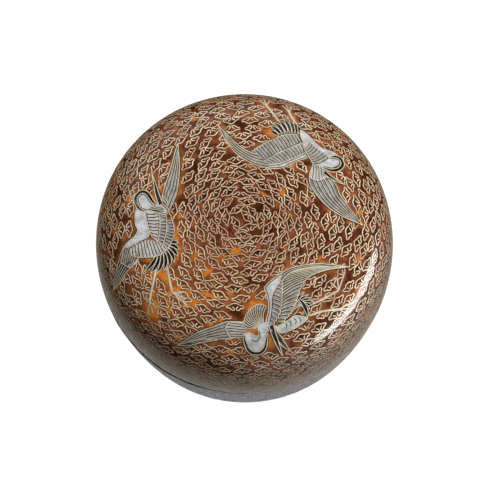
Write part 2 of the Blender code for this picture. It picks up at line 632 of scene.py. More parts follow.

# %% [markdown]
# Rims, collar and foot ring are rings of gilt copper. Each starts as a spun rectangle or step, and
# a small bevel takes the sharpness off its corners. The base's rim stands out from the wall by a
# hair and shows from above as a pale line. On one stretch the lid's rim is worn back, and a thin
# near-black ring of painted shade lies on the ledge under it, as the shadow of the lid's overhang.

# %% Sizes and shaping of the rings
RIM_BEVEL = 0.12 * MM
COLLAR_THICKNESS = 1.0 * MM
COLLAR_CLEARANCE = 0.4 * MM
COLLAR_RISE = 4.0 * MM
COLLAR_DROP = 3.0 * MM
FOOT_RADIUS = 34 * MM
FOOT_WIDTH = 2.5 * MM
GAP_MIDDLE = math.radians(-130)
GAP_HALF_WIDTH = math.radians(27)
GAP_FADE_START, GAP_FADE = 0.8, 0.4
RIM_DROP = 0.24 * MM
RIM_RECESS = 0.40 * MM
RIM_LIP = 0.14 * MM
SHADE_LOW, SHADE_HIGH = 0.005 * MM, 0.04 * MM
SHADE_DEPTH = 1.5 * MM
SHADE_INSET = 0.2 * MM
SHADE_HIDDEN = -0.1 * MM
SHADE_LIP = 0.24 * MM


def block(inner, outer, low, high):
    """The cross-section of a plain ring."""
    return [(inner, low), (inner, high), (outer, high), (outer, low)]


def ring(profile):
    """A spun ring with softened corners."""
    bm = turned(profile)
    bmesh.ops.bevel(
        bm, geom=[edge for edge in bm.edges if edge.calc_face_angle() > math.radians(45)],
        offset=RIM_BEVEL, segments=2, affect="EDGES", profile=0.5, material=-1,
    )
    return bm


def openness(vert):
    """How far the seam is open at a vertex: 1 along the worn stretch, and 0 on the rest."""
    turn = math.atan2(vert.co.y, vert.co.x) - GAP_MIDDLE
    aside = abs(math.remainder(turn, 2 * math.pi)) / GAP_HALF_WIDTH
    return 1 - min(max((aside - GAP_FADE_START) / GAP_FADE, 0.0), 1.0)


def shift_edge(bm, at_rest, when_open):
    """Moves a ring's outer edge out, by at_rest where the seam is closed, else by when_open."""
    for vert in bm.verts:
        if vert.co.xy.length > BODY_RADIUS - WALL / 2:
            shift = at_rest + (when_open - at_rest) * openness(vert)
            vert.co.xy = vert.co.xy * (1 + shift / BODY_RADIUS)


# %% Gilt rings
lid_rim = ring(block(BODY_RADIUS - WALL, BODY_RADIUS, LID_RIM, LID_RIM + RIM_HEIGHT))
for vert in lid_rim.verts:
    reach_down = (LID_RIM + RIM_HEIGHT - vert.co.z) / RIM_HEIGHT
    vert.co.z -= RIM_DROP * (1 - openness(vert)) * reach_down
shift_edge(lid_rim, 0.0, -RIM_RECESS)
make_piece(lid_rim, "lid_rim", RIM_GILT)
base_rim = ring(block(BODY_RADIUS - WALL, BODY_RADIUS, SEAM - RIM_HEIGHT, SEAM))
shift_edge(base_rim, RIM_LIP, RIM_LIP)
make_piece(base_rim, "base_rim", RIM_GILT)
# A near-black ring of painted shade under the lid's overhang, seen only along the open stretch.
shade_sides = BODY_RADIUS - SHADE_DEPTH, BODY_RADIUS - SHADE_INSET
shade_ring = turned(block(*shade_sides, SEAM + SHADE_LOW, SEAM + SHADE_HIGH))
shift_edge(shade_ring, SHADE_HIDDEN, SHADE_INSET + SHADE_LIP)
make_piece(shade_ring, "seam_shade", SEAM_SHADE_BLACK)

collar_outside = BODY_RADIUS - WALL - COLLAR_CLEARANCE
collar_inside = collar_outside - COLLAR_THICKNESS
make_piece(ring([
    (collar_inside, SEAM - COLLAR_DROP),
    (collar_inside, SEAM + COLLAR_RISE),
    (collar_outside, SEAM + COLLAR_RISE),
    (collar_outside, SEAM - RIM_HEIGHT),
    (BODY_RADIUS - WALL, SEAM - RIM_HEIGHT),
    (BODY_RADIUS - WALL, SEAM - COLLAR_DROP),
]), "collar", RIM_GILT)
foot = ring(block(FOOT_RADIUS - FOOT_WIDTH, FOOT_RADIUS, base_low.z, UNDERSIDE))
make_piece(foot, "foot_ring", RIM_GILT)

# %% [markdown]
# Wire and enamel are drawn flat first, in millimetres, and laid on the box afterwards. A drawing is
# written down as dots, as a maker pricks it through the paper. A wire is a grid three vertices wide
# whose middle stands a little higher than its edges, and the near-black band beside it, darker
# enamel and painted shade, is a flat grid two wide. Curve objects could make round wires, but a
# wire that was ground flush is nearly flat, and such a strip needs a quarter of the faces. That
# matters when there are over a thousand clouds. Each sort of wire and enamel has its own height
# above the ground enamel.

# %% Draw a wire
SKIRT_FOOT = -0.03
LEVELS = {
    "cloud": 0.012, "cloud edge": (0.019, 0.019), "cloud wire": (0.024, 0.050, 0.024),
    "crane": 0.066, "crane edge": (0.112, 0.112), "crane wire": (0.118, 0.140, 0.118),
    "leg edge": (0.066, 0.066), "leg": (0.100, 0.150, 0.100),
}


def dots(*numbers, to_the_mm=10):
    """Points of a drawing, across and up in turn, in whole tenths of a millimetre as a rule."""
    places = [number / to_the_mm for number in numbers]
    return list(zip(places[::2], places[1::2]))


def draw_strip(bm, path, width, levels, shift=0.0):
    """A strip along a flat path, with a column of vertices for each level, shifted to its right."""
    last = len(levels) - 1
    grid = bmesh.ops.create_grid(bm, x_segments=last, y_segments=len(path) - 1, size=1.0)["verts"]
    for row, (x, y) in enumerate(path):
        left = Vector((*left_of(path, row), 0.0))
        for column, level in enumerate(levels):
            aside = width * (0.5 - column / last) - shift
            grid[row * len(levels) + column].co = Vector((x, y, level)) + left * aside


def smooth(points, steps, closed=False):
    """A Catmull-Rom curve through a few points, with that many steps between neighbours."""
    if closed:
        points = [points[-1], *points, points[0], points[1]]
    else:
        points = [points[0], *points, points[-1]]
    curve = []
    for a, b, c, d in zip(points, points[1:], points[2:], points[3:]):
        for step in range(steps):
            t = step / steps
            curve.append(tuple(
                0.5 * (
                    2 * q + (r - p) * t + (2 * p - 5 * q + 4 * r - s) * t**2
                    + (3 * q - p - 3 * r + s) * t**3
                )
                for p, q, r, s in zip(a, b, c, d)
            ))
    return curve if closed else [*curve, tuple(points[-2])]


# %% [markdown]
# A patch of enamel is a flat outline made a face, cut along grid lines so that it can follow the
# dome, with its border extruded down into the ground. Triangulating first keeps the cuts safe on
# hollow outlines.

# %% Draw a patch of enamel
def signed_area(outline):
    return sum(a[0] * b[1] - b[0] * a[1] for a, b in zip(outline, outline[1:] + outline[:1])) / 2


def fill_patch(bm, outline, level, cuts_x, cuts_y):
    """A patch of enamel in a flat outline."""
    if signed_area(outline) < 0:
        outline = outline[::-1]
    patch = bmesh.new()
    patch.faces.new([patch.verts.new((x, y, level)) for x, y in outline])
    patch.normal_update()
    bmesh.ops.triangulate(patch, faces=patch.faces[:], ngon_method="EAR_CLIP")
    for normal, cuts in (((1, 0, 0), cuts_x), ((0, 1, 0), cuts_y)):
        for cut in cuts:
            bmesh.ops.bisect_plane(
                patch, geom=patch.verts[:] + patch.edges[:] + patch.faces[:], dist=0.0005,
                plane_co=[part * cut for part in normal], plane_no=normal,
            )
    border = [edge for edge in patch.edges if edge.is_boundary]
    skirt = bmesh.ops.extrude_edge_only(patch, edges=border)["geom"]
    for vert in skirt:
        if isinstance(vert, bmesh.types.BMVert):
            vert.co.z = SKIRT_FOOT
    flat = kept_mesh("patch", patch)
    bm.from_mesh(flat)
    bpy.data.meshes.remove(flat)


def grid_lines(low, high, pitch):
    """Places between low and high, on a fixed grid."""
    return [step * pitch for step in range(math.ceil(low / pitch), math.floor(high / pitch) + 1)]


# %% [markdown]
# One cloud is an open wire. It bulges towards the lid's middle, runs out to a rounded tip on either
# side, and comes back in two lobes that end in small hooks. Four halves are drawn, and a cloud is
# any two of them back to back, which gives sixteen sorts: a maker who bends every wire by hand
# never makes quite the same cloud twice.

# %% One cloud
CLOUD_WIRE = 0.33
CLOUD_EDGE = 0.70
HALF_CLOUDS = [
    dots(0, 108, 44, 105, 86, 88, 122, 62, 162, 46, 206, 44, 246, 28, 248, -6, 214, -28, 170, -38,
        136, -62, 102, -96, 58, -106, 22, -86, 38, -44, 92, 10, to_the_mm=100),
    dots(0, 112, 40, 112, 80, 98, 114, 74, 150, 60, 194, 62, 234, 46, 240, 12, 208, -14, 164, -24,
        134, -50, 108, -86, 66, -104, 26, -88, 30, -46, 80, 14, to_the_mm=100),
    dots(0, 106, 42, 98, 80, 76, 114, 48, 156, 28, 202, 22, 242, 0, 238, -34, 202, -52, 162, -54,
        134, -76, 102, -106, 60, -114, 22, -94, 34, -52, 92, 2, to_the_mm=100),
    dots(0, 110, 36, 116, 74, 104, 102, 74, 138, 52, 184, 56, 222, 42, 226, 6, 194, -20, 152, -28,
        126, -56, 96, -90, 56, -102, 20, -82, 34, -38, 80, 24, to_the_mm=100),
]
LOBE_POINTS = 13
LOBE_CUTS = (-1.4, 0.0, 1.4)


def back_to_back(left, right):
    """The whole shape of two halves that start on the mirror line."""
    return [(-x, y) for x, y in left[:0:-1]] + right


cloud_sorts = []
for left in HALF_CLOUDS:
    for right in HALF_CLOUDS:
        path = back_to_back(left, right)
        lobes = back_to_back(left[:LOBE_POINTS], right[:LOBE_POINTS])[::2]
        kinds = {"wires": bmesh.new(), "edges": bmesh.new(), "enamel": bmesh.new()}
        draw_strip(kinds["wires"], path, CLOUD_WIRE, LEVELS["cloud wire"])
        draw_strip(kinds["edges"], path[::2], CLOUD_EDGE, LEVELS["cloud edge"])
        fill_patch(kinds["enamel"], lobes, LEVELS["cloud"], cuts_x=LOBE_CUTS, cuts_y=(0.0,))
        cloud_sorts.append({kind: kept_mesh("one_cloud_" + kind, bm) for kind, bm in kinds.items()})
faces = {kind: len(mesh.polygons) for kind, mesh in cloud_sorts[0].items()}
print("sorts of cloud:", len(cloud_sorts), "with faces", faces)

# %% [markdown]
# The cranes are drawn next, because the clouds have to keep clear of them. A crane is a pile of
# parts: plumes and legs first, then wings, body, neck and beak. Each part covers the parts before
# it, as a painter works, and a wire is cut where a later part lies over it, as a maker ends a wire
# where it meets the next one.

# %% Layers
layers = []
FEATHER_WIRE = 0.20
OUTLINE_WIRE = 0.26
LEG_WIRE = 0.60
TOE_SHARE = 0.6


def between(a, b, share):
    return (a[0] + (b[0] - a[0]) * share, a[1] + (b[1] - a[1]) * share)


def at(path, reach, distance):
    """The point of a path at a distance along it. Its reach is the lengths up to each point."""
    step = min(max(bisect.bisect_left(reach, distance), 1), len(path) - 1)
    span = reach[step] - reach[step - 1]
    return between(path[step - 1], path[step], (distance - reach[step - 1]) / span if span else 0.0)


def even(path, pitch=0.5):
    """A path with its points at even steps."""
    reach = lengths(path)
    count = max(round(reach[-1] / pitch), 2)
    return [at(path, reach, reach[-1] * step / count) for step in range(count + 1)]


def along(path, share):
    """The point at a share of a path's length."""
    reach = lengths(path)
    return at(path, reach, share * reach[-1])


def bowed(a, b, bow, steps=6):
    """A line from a to b that bows to its left by a share of its length."""
    side = ((a[1] - b[1]) * bow, (b[0] - a[0]) * bow)
    line = []
    for step in range(steps + 1):
        share = step / steps
        rise = 4 * share * (1 - share)
        x, y = between(a, b, share)
        line.append((x + side[0] * rise, y + side[1] * rise))
    return line


def layer(enamel, outline, wires):
    """One more part over the ones before it. Wires are pairs of path and width."""
    box = [limit(places) for places in zip(*outline) for limit in (min, max)]
    wires = [(even(path), width) for path, width in wires]
    layers.append({"enamel": enamel, "outline": outline, "box": box, "wires": wires})


# %% [markdown]
# Feathers come in two kinds. In a vane they run lengthwise between two edges that meet at the
# wing's tip. In a row they cross from a line of roots to a line of rounded ends. A plate is a
# smooth patch with feather lines of its own.

# %% Feathers
FAN_STEPS = 12


def fan(one, two, count, first=0.0, last=1.0):
    """Lines that run lengthwise between two edges."""
    steps = [first + (last - first) * step / FAN_STEPS for step in range(FAN_STEPS + 1)]
    shares = [number / (count + 1) for number in range(1, count + 1)]
    return [
        [between(along(one, step), along(two, step), share) for step in steps] for share in shares
    ]


def vane(enamel, front, back, count, first=0.0, last=0.94):
    front, back = smooth(front, 6), smooth(back, 6)
    lines = [(line, FEATHER_WIRE) for line in fan(front, back, count, first, last)]
    layer(enamel, front + back[-2::-1], lines + [(front, OUTLINE_WIRE), (back, OUTLINE_WIRE)])


def row(enamel, roots, ends, count, bow=0.0, bulge=0.35):
    """A row of feathers with rounded ends."""
    roots, ends = smooth(roots, 6), smooth(ends, 6)
    shares = [step / count for step in range(count + 1)]
    quills = [bowed(along(roots, share), along(ends, share), bow) for share in shares]
    edge = [quills[0][-1]]
    for one, two in zip(quills, quills[1:]):
        middle, inner = between(one[-1], two[-1], 0.5), between(one[-2], two[-2], 0.5)
        share = 1.0 + bulge * math.dist(one[-1], two[-1]) / math.dist(middle, inner)
        edge += [between(inner, middle, share), two[-1]]
    outline = quills[0][:-1] + edge + quills[-1][-2::-1] + [quill[0] for quill in quills[-2:0:-1]]
    layer(enamel, outline, [(edge, OUTLINE_WIRE)] + [(quill, FEATHER_WIRE) for quill in quills])


def plate(enamel, points, lines=(), outlined=True):
    outline = smooth(points, 5, closed=True)
    wires = [(line, FEATHER_WIRE) for line in lines]
    if outlined:
        wires.append((outline + outline[:1], OUTLINE_WIRE))
    layer(enamel, outline, wires)


def inside(point, part):
    """Whether a point lies in a part's outline."""
    x, y = point
    x_low, x_high, y_low, y_high = part["box"]
    if not (x_low < x < x_high and y_low < y < y_high):
        return False
    outline = part["outline"]
    crossings = 0
    for (ax, ay), (bx, by) in zip(outline, outline[1:] + outline[:1]):
        if (ay > y) != (by > y) and x < ax + (bx - ax) * (y - ay) / (by - ay):
            crossings += 1
    return crossings % 2 == 1


# %% [markdown]
# A band swells and thins along its path. It makes the black stripe of the neck, the beak and the
# plumes of the tail, each between two wires. The legs trail behind on stout wires with three toes.

# %% Bands, plumes and legs
def band(enamel, path, widths, wire=OUTLINE_WIRE):
    line = even(smooth(path, 5), 0.45)
    left, right = [], []
    for step, (x, y) in enumerate(line):
        share = step / (len(line) - 1) * (len(widths) - 1)
        low = min(int(share), len(widths) - 2)
        half = (widths[low] + (widths[low + 1] - widths[low]) * (share - low)) / 2
        across, up = left_of(line, step)
        left.append((x + across * half, y + up * half))
        right.append((x - across * half, y - up * half))
    layer(enamel, left + right[::-1], [(left, wire), (right, wire)])


def plumes(roots, tips, count, width=1.1, bow=0.12):
    roots, tips = smooth(roots, 5), smooth(tips, 5)
    for step in range(count):
        share = step / (count - 1)
        line = bowed(along(roots, share), along(tips, share), bow)
        band("black", line, (0.2, width * 0.7, width, width * 0.8, 0.12), FEATHER_WIRE)


def leg(path, toes):
    line = smooth(path, 4)
    ankle = line[-1]
    toe_lines = [[ankle, between(ankle, toe, 0.5), toe] for toe in toes]
    layer(None, [], [(line, LEG_WIRE)] + [(toe, LEG_WIRE * TOE_SHARE) for toe in toe_lines])


# %% [markdown]
# The first crane is on the left with one wing up and the other swept down over the shoulder of the
# box. The outlines of all three cranes are traced. Their points were read off enlargements of the
# photograph, and a separate script turned most of them into millimetres of the flat drawing. Only
# the single feathers are laid out evenly by the functions above. The dots count in tenths of a
# millimetre from the crown's middle.

# %% Left crane
leg(dots(-250, -136, -262, -184, -273, -226), dots(-282, -264, -266, -260, -249, -248))
leg(dots(-219, -132, -212, -174, -206, -204), dots(-164, -244, -169, -224, -180, -208))
plumes(dots(-246, -86, -233, -84, -220, -76, -211, -63),
    dots(-285, -140, -260, -148, -231, -143, -202, -123, -186, -93, -187, -65), count=9)
vane("slate", dots(-345, -62, -360, -90, -375, -122, -393, -155, -413, -192),
    dots(-297, -91, -307, -112, -325, -126, -344, -139, -369, -164, -413, -192), count=4)
plate("grey",
    dots(-343, -62, -351, -86, -359, -108, -347, -114, -336, -124, -321, -122, -308, -109,
        -297, -91, -302, -71, -322, -55),
    fan(dots(-344, -67, -357, -106), dots(-297, -77, -311, -112), 6))
row("white", dots(-327, -49, -302, -42, -278, -49, -255, -55, -233, -61),
    dots(-324, -90, -300, -98, -279, -99, -255, -98, -234, -92, -219, -79), count=11)
vane("grey", dots(-231, 74, -224, 102, -212, 139, -201, 177, -192, 213, -184, 236),
    dots(-213, 26, -201, 53, -190, 79, -184, 114, -180, 165, -184, 236), count=3, last=0.75)
row("grey", dots(-238, 12, -233, -12, -230, -37, -236, -57),
    dots(-204, 4, -199, -19, -202, -48, -218, -77), count=9, bow=-0.1)
row("grey", dots(-259, 28, -255, 3, -254, -21, -255, -45),
    dots(-224, 25, -220, -3, -222, -30, -231, -66), count=9, bow=-0.1)
row("white", dots(-280, 38, -277, 12, -275, -12, -264, -37),
    dots(-245, 40, -240, 13, -240, -17, -245, -54), count=9, bow=-0.1)
plate("white",
    dots(-280, 51, -260, 58, -239, 56, -223, 47, -211, 31, -225, 21, -244, 28, -260, 34, -271, 37),
    fan(dots(-271, 49, -253, 53, -228, 46), dots(-267, 38, -249, 33, -224, 27), 3))
plate("white",
    dots(-308, 40, -310, 18, -308, -5, -302, -20, -312, -38, -332, -51, -343, -62, -333, -68,
        -307, -57, -288, -49, -272, -42, -269, -26, -273, -6, -277, 15, -279, 35, -287, 42,
        -300, 45))
plate("white",
    dots(-307, 45, -308, 63, -304, 80, -291, 89, -279, 85, -268, 69, -260, 56, -268, 47, -278, 39,
        -290, 36), outlined=False)
band("black",
    dots(-275, 36, -288, 37, -299, 46, -306, 60, -308, 78, -299, 90, -288, 95, -274, 88, -265, 74,
        -257, 61, -248, 54), (0.3, 0.7, 0.95, 1.05, 1.05, 1.05, 1.0, 0.9, 0.5))
band("black", dots(-235, 53, -244, 80, -252, 115, -260, 148), (1.3, 1.1, 0.6, 0.1))
band("grey", dots(-231, 78, -225, 67, -217, 54), (0.2, 0.8, 0.5))

# %% [markdown]
# The second crane flies across the upper right with its neck folded forward.

# %% Upper right crane
leg(dots(109, 300, 94, 328, 77, 360), dots(59, 386, 73, 392, 88, 384))
leg(dots(176, 274, 156, 300, 144, 334), dots(126, 368, 139, 376, 154, 366))
plumes(dots(108, 249, 130, 253, 149, 253, 168, 254),
    dots(82, 267, 87, 286, 105, 300, 127, 307, 147, 302, 165, 286), count=8, bow=-0.1)
row("grey", dots(172, 226, 148, 213, 113, 200, 78, 178, 46, 164),
    dots(160, 253, 134, 253, 110, 246, 81, 232, 52, 216, 19, 194), count=16, bow=-0.04)
row("grey", dots(184, 199, 161, 181, 131, 168, 102, 159, 74, 156),
    dots(177, 227, 148, 213, 113, 198, 79, 178, 45, 161), count=14, bow=-0.04)
plate("white",
    dots(64, 156, 83, 160, 107, 162, 132, 172, 160, 184, 184, 197, 191, 183, 163, 172, 139, 161,
        113, 149, 85, 148))
vane("grey", dots(44, 193, 18, 203, -11, 225, -39, 256, -67, 291),
    dots(85, 148, 40, 160, 2, 182, -26, 209, -49, 247, -67, 291), count=3, last=0.75)
vane("grey", dots(200, 152, 192, 128, 192, 103, 201, 81, 222, 50, 249, 23, 286, 0, 339, -21),
    dots(236, 139, 257, 114, 270, 89, 276, 69, 292, 44, 312, 14, 339, -21), count=5, last=0.8)
row("white", dots(202, 158, 218, 160, 234, 152), dots(194, 120, 215, 111, 239, 121), count=5)
plate("white",
    dots(172, 269, 173, 244, 180, 228, 186, 201, 195, 184, 203, 166, 218, 156, 236, 149, 257, 157,
        267, 168, 281, 184, 269, 199, 249, 205, 230, 213, 214, 227, 203, 242, 189, 258))
row("grey", dots(200, 228, 215, 211, 237, 195, 253, 182),
    dots(182, 207, 190, 192, 199, 174, 207, 158), count=7, bow=0.1)
plate("white", dots(233, 156, 237, 167, 252, 178, 268, 181, 279, 173, 277, 160, 265, 153, 249, 149),
    outlined=False)
band("black", dots(252, 183, 271, 186, 286, 180, 291, 164, 285, 152, 270, 142, 250, 143, 232, 151),
    (0.3, 0.9, 1.05, 1.1, 1.05, 1.0, 0.8, 0.4))
band("black", dots(235, 136, 254, 120, 273, 108, 294, 98), (1.1, 0.9, 0.5, 0.1))

# %% [markdown]
# The third crane is the largest. It glides at the bottom with one broad wing raised towards the
# right.

# %% Bottom crane
leg(dots(172, -254, 218, -234, 262, -210), dots(279, -164, 258, -178, 238, -188))
leg(dots(166, -284, 215, -269, 265, -264), dots(312, -242, 310, -262, 296, -280))
plumes(dots(117, -283, 128, -268, 137, -249, 144, -230),
    dots(164, -216, 179, -226, 189, -242, 183, -255, 174, -268, 171, -285), count=8, bow=0.1)
vane("grey", dots(-9, -295, -58, -293, -93, -305, -125, -314, -152, -326, -180, -343, -206, -358),
    dots(-10, -336, -38, -337, -66, -339, -95, -341, -127, -348, -167, -358, -206, -358), count=4,
    last=0.8)
band("slate", dots(-204, -357, -166, -352, -127, -344, -83, -341), (0.2, 1.1, 0.9, 0.3))
band("white", dots(-161, -350, -137, -347, -101, -341), (0.1, 0.4, 0.1), 0.1)
row("white", dots(-3, -299, -1, -312, -4, -327, -7, -338),
    dots(-45, -292, -57, -305, -55, -322, -47, -336), count=6)
row("grey", dots(31, -312, 39, -304, 43, -300, 48, -297),
    dots(-9, -306, -4, -284, 9, -264, 24, -252, 43, -248, 56, -256), count=12, bow=0.12)
plate("white",
    dots(84, -312, 88, -324, 100, -328, 115, -324, 134, -316, 151, -306, 165, -295, 173, -288,
        162, -284, 145, -281, 130, -282, 118, -291, 106, -299, 93, -305),
    [smooth(line, 3) for line in (
        dots(109, -300, 114, -306, 112, -317), dots(120, -294, 126, -301, 124, -310),
        dots(133, -286, 141, -295, 137, -305), dots(146, -284, 153, -291, 151, -300))])
row("grey", dots(71, -294, 85, -279, 93, -259, 98, -234, 99, -209, 101, -188, 113, -167, 134, -154),
    dots(97, -298, 115, -280, 128, -260, 139, -236, 147, -215, 156, -195, 173, -175, 200, -161,
        237, -151, 285, -145), count=18, bow=0.05)
vane("grey", dots(88, -175, 103, -159, 131, -146, 167, -138, 210, -135, 253, -139, 295, -144),
    dots(101, -188, 114, -169, 135, -155, 166, -147, 209, -143, 252, -144, 295, -144), count=1,
    last=0.6)
row("grey", dots(59, -299, 66, -279, 68, -259, 69, -238, 74, -217, 84, -198, 95, -180),
    dots(71, -306, 84, -285, 94, -265, 98, -242, 100, -220, 101, -200, 101, -183), count=11,
    bow=0.1)
vane("white",
    dots(51, -304, 57, -282, 62, -263, 62, -240, 58, -220, 53, -202, 60, -191, 77, -177, 101, -160),
    dots(60, -301, 66, -279, 69, -259, 71, -237, 74, -221, 80, -209, 88, -196, 97, -182, 101, -160),
    count=0)
plate("white",
    dots(32, -305, 42, -298, 55, -298, 70, -304, 84, -308, 88, -318, 78, -325, 67, -322, 54, -324,
        45, -331, 36, -332, 31, -322), outlined=False)
plate("white",
    dots(-7, -334, -5, -351, 0, -367, 12, -378, 23, -381, 37, -380, 45, -370, 50, -353, 52, -337,
        54, -324, 48, -312, 39, -310, 35, -317, 32, -331, 25, -333, 14, -326, 4, -323, -6, -327),
    [smooth(dots(13, -343, 23, -348, 30, -344, 34, -334, 32, -321), 4)], outlined=False)
band("black",
    dots(-7, -332, -8, -345, -3, -360, 2, -373, 13, -383, 25, -386, 37, -384, 49, -371, 53, -354,
        55, -339, 58, -329), (0.4, 0.7, 0.9, 1.0, 1.05, 1.05, 1.0, 0.95, 0.8, 0.6, 0.3))
band("slate", dots(71, -313, 88, -339, 101, -359, 123, -383), (0.8, 1.3, 1.2, 0.1))
band("black", dots(68, -306, 75, -331, 88, -366, 101, -397), (1.3, 1.2, 0.8, 0.1))
print(len(layers), "parts drawn for the cranes")

# %% [markdown]
# The parts become pieces by their enamel, with one more piece for all the wires and one for the
# near-black bands beside them, partly darker enamel and partly painted shade. Beside the wires of
# the enamelled parts the band lies mostly to one side, as the wire's painted shadow. Each part lies
# a hair higher than the one before it. All are laid over the dome by the same walk down the outline
# as everything else.

# %% Cut the wires where a later part covers them
patches = [part for part in layers if part["enamel"]]


def open_runs(path, covers):
    """The stretches of a path that no later part covers."""
    runs = [[]]
    for point in path:
        if any(inside(point, part) for part in covers):
            runs.append([])
        else:
            runs[-1].append(point)
    return [run for run in runs if len(run) > 1]


wire_runs = []
for number, part in enumerate(layers):
    covers = [later for later in layers[number + 1 :] if later["enamel"]]
    for path, width in part["wires"]:
        wire_runs += [(run, width, part["enamel"]) for run in open_runs(path, covers)]
print(len(wire_runs), "lengths of wire for the cranes")

# %% Crane pieces
PATCH_PITCH = 0.9
LAYER_STEP = 0.0006
EDGE_MARGIN = 0.28
# The dark band is moved to one side of each wire, as the wire's painted shadow.
SHADOW_SHIFT = 0.10
for enamel, material in ENAMELS.items():
    bm = bmesh.new()
    for number, part in enumerate(layers):
        if part["enamel"] == enamel:
            x_low, x_high, y_low, y_high = part["box"]
            cuts = grid_lines(x_low, x_high, PATCH_PITCH), grid_lines(y_low, y_high, PATCH_PITCH)
            fill_patch(bm, part["outline"], LEVELS["crane"] + LAYER_STEP * number, *cuts)
    lay_on_box(bm.verts)
    slot = "white_enamel" if enamel in ("white", "grey") else "black_enamel"
    make_piece(bm, "crane_" + enamel, material, crease=60.0)

wire_bm, wire_shade_bm = bmesh.new(), bmesh.new()
for path, width, enamel in wire_runs:
    if enamel:
        draw_strip(wire_bm, path, width, LEVELS["crane wire"])
        draw_strip(wire_shade_bm, path, width + EDGE_MARGIN, LEVELS["crane edge"], SHADOW_SHIFT)
    else:
        draw_strip(wire_bm, path, width, LEVELS["leg"])
        draw_strip(wire_shade_bm, path, width + EDGE_MARGIN / 2, LEVELS["leg edge"])
lay_on_box(wire_bm.verts)
lay_on_box(wire_shade_bm.verts)
make_piece(wire_bm, "crane_wires", CRANE_GILT, crease=80.0)
make_piece(wire_shade_bm, "crane_wire_shade", WIRE_SHADE_BROWN, crease=80.0)

# %% [markdown]
# Now the clouds. They stand in rings round the middle, a half step apart from one ring to the next,
# like bricks. The middle rings are closer and their clouds flatter. Each copy is stretched, bent
# and turned a little, and the rings wander, so no two are quite alike. Clouds that a crane would
# hide are left out.

# %% Where a cloud may lie
ROW_PITCH = 2.50
MIDDLE_ROW_PITCH = 2.05
MIDDLE_REACH = 7.0
WIDENING = 9.0
CLOUD_PITCH = 5.65
FIRST_ROW = 2.7
LID_MARGIN = 1.7
BASE_START = LID_LENGTH + SEAM_GAP / MM + LID_MARGIN
BASE_END = BOX_LENGTH - 3.0
KEY_POINTS = ((0.0, 0.8), (0.0, -0.6), (-2.2, 0.0), (2.2, 0.0), (-1.0, -0.8), (1.0, -0.8))
LEG_CLEARANCE = 0.3
leg_points = [point for path, width, enamel in wire_runs if not enamel for point in path]


def tree_of(places):
    tree = kdtree.KDTree(len(places))
    for number, place in enumerate(places):
        tree.insert(place, number)
    tree.balance()
    return tree


nearest_leg = tree_of([(x, y, 0.0) for x, y in leg_points])


def drawn_place(cloud, x, y):
    """A cloud's own point x, y in the flat drawing, at the cloud's walk and angle on the box."""
    stretch = cloud["distance"] / radius_at(cloud["distance"])
    outwards, sideways = cloud["distance"] - y, x * stretch
    reach = math.hypot(outwards, sideways)
    angle = cloud["turn"] + math.atan2(sideways, outwards)
    return (reach * math.cos(angle), reach * math.sin(angle))


def hidden(cloud, most):
    """Whether cranes cover that many of a cloud's key points, or a leg runs through its middle."""
    keys = [drawn_place(cloud, x, y) for x, y in KEY_POINTS]
    covered = sum(any(inside(key, part) for part in patches) for key in keys)
    middle = (*drawn_place(cloud, 0.0, 0.0), 0.0)
    return covered >= most or nearest_leg.find(middle)[2] < LEG_CLEARANCE


def row_pitch(distance):
    share = min(max((distance - MIDDLE_REACH) / WIDENING, 0.0), 1.0)
    return MIDDLE_ROW_PITCH + (ROW_PITCH - MIDDLE_ROW_PITCH) * share


def room_at(distance):
    """How large clouds may be at that walk from the middle, as a share of the largest."""
    return (row_pitch(distance) / ROW_PITCH) ** 0.5


# %% Places for the clouds
def one_place(distance, turn, tilt):
    return {
        "sort": hand.randrange(len(cloud_sorts)), "distance": distance, "turn": turn,
        "tilt": tilt + math.radians(hand.gauss(0, 6)),
        "left": hand.uniform(0.92, 1.06), "right": hand.uniform(0.92, 1.06),
        "tall": hand.uniform(0.90, 1.02) * room_at(distance),
        "bend": hand.gauss(0, 0.03), "lean": hand.gauss(0, 0.16),
    }


def rows_of_clouds(first, last):
    """Rings of clouds between two walks. A ring wanders in two, three and five waves round it."""
    clouds = []
    rows = [first]
    while rows[-1] + 0.5 * row_pitch(rows[-1]) < last:
        rows.append(rows[-1] + row_pitch(rows[-1]))
    spread = (last - first) / (rows[-1] - first)
    rows = [first + (place - first) * spread for place in rows]
    start = 0.0
    for number, distance in enumerate(rows):
        pair = rows[number - number % 2 :][:2]
        middle = sum(pair) / len(pair)
        count = round(2 * math.pi * radius_at(middle) / (CLOUD_PITCH * room_at(middle) ** 0.5))
        start += 0.5 if number % 2 else hand.uniform(0.3, 0.7)
        waves = [(w, hand.uniform(0, 2 * math.pi), hand.uniform(0.03, 0.14)) for w in (2, 3, 5)]
        for place in range(count):
            turn = 2 * math.pi * (place + start + hand.gauss(0, 0.04)) / count
            wander = sum(size * math.sin(wave * turn + phase) for wave, phase, size in waves)
            tilt = math.radians(5 * math.sin(2 * turn + number * 0.4))
            clouds.append(one_place(distance + wander + hand.gauss(0, 0.08), turn, tilt))
    return clouds


lid_clouds = [one_place(0.9, 0.4, 0.0)] + rows_of_clouds(FIRST_ROW, LID_LENGTH - LID_MARGIN)
lid_clouds = [cloud for cloud in lid_clouds if not hidden(cloud, most=3)]
base_clouds = rows_of_clouds(BASE_START, BASE_END)
print(len(lid_clouds), "places on the lid and", len(base_clouds), "on the base")

# %% [markdown]
# A maker fits each cloud into the space its neighbours leave. Here every cloud is stood for by five
# discs, and in a few rounds discs that overlap push their clouds apart and turn them a little. The
# borders of the cranes push too, but stay where they are. Leaving more room between the rings would
# avoid the overlaps as well, but then the clouds wouldn't lock into one another.

# %% The lie of a cloud
DISCS = [
    (0.0, 0.0, 1.30), (-1.2, -0.05, 0.86), (1.2, -0.05, 0.86), (-2.0, 0.0, 0.62), (2.0, 0.0, 0.62),
]
TWIST = 0.12


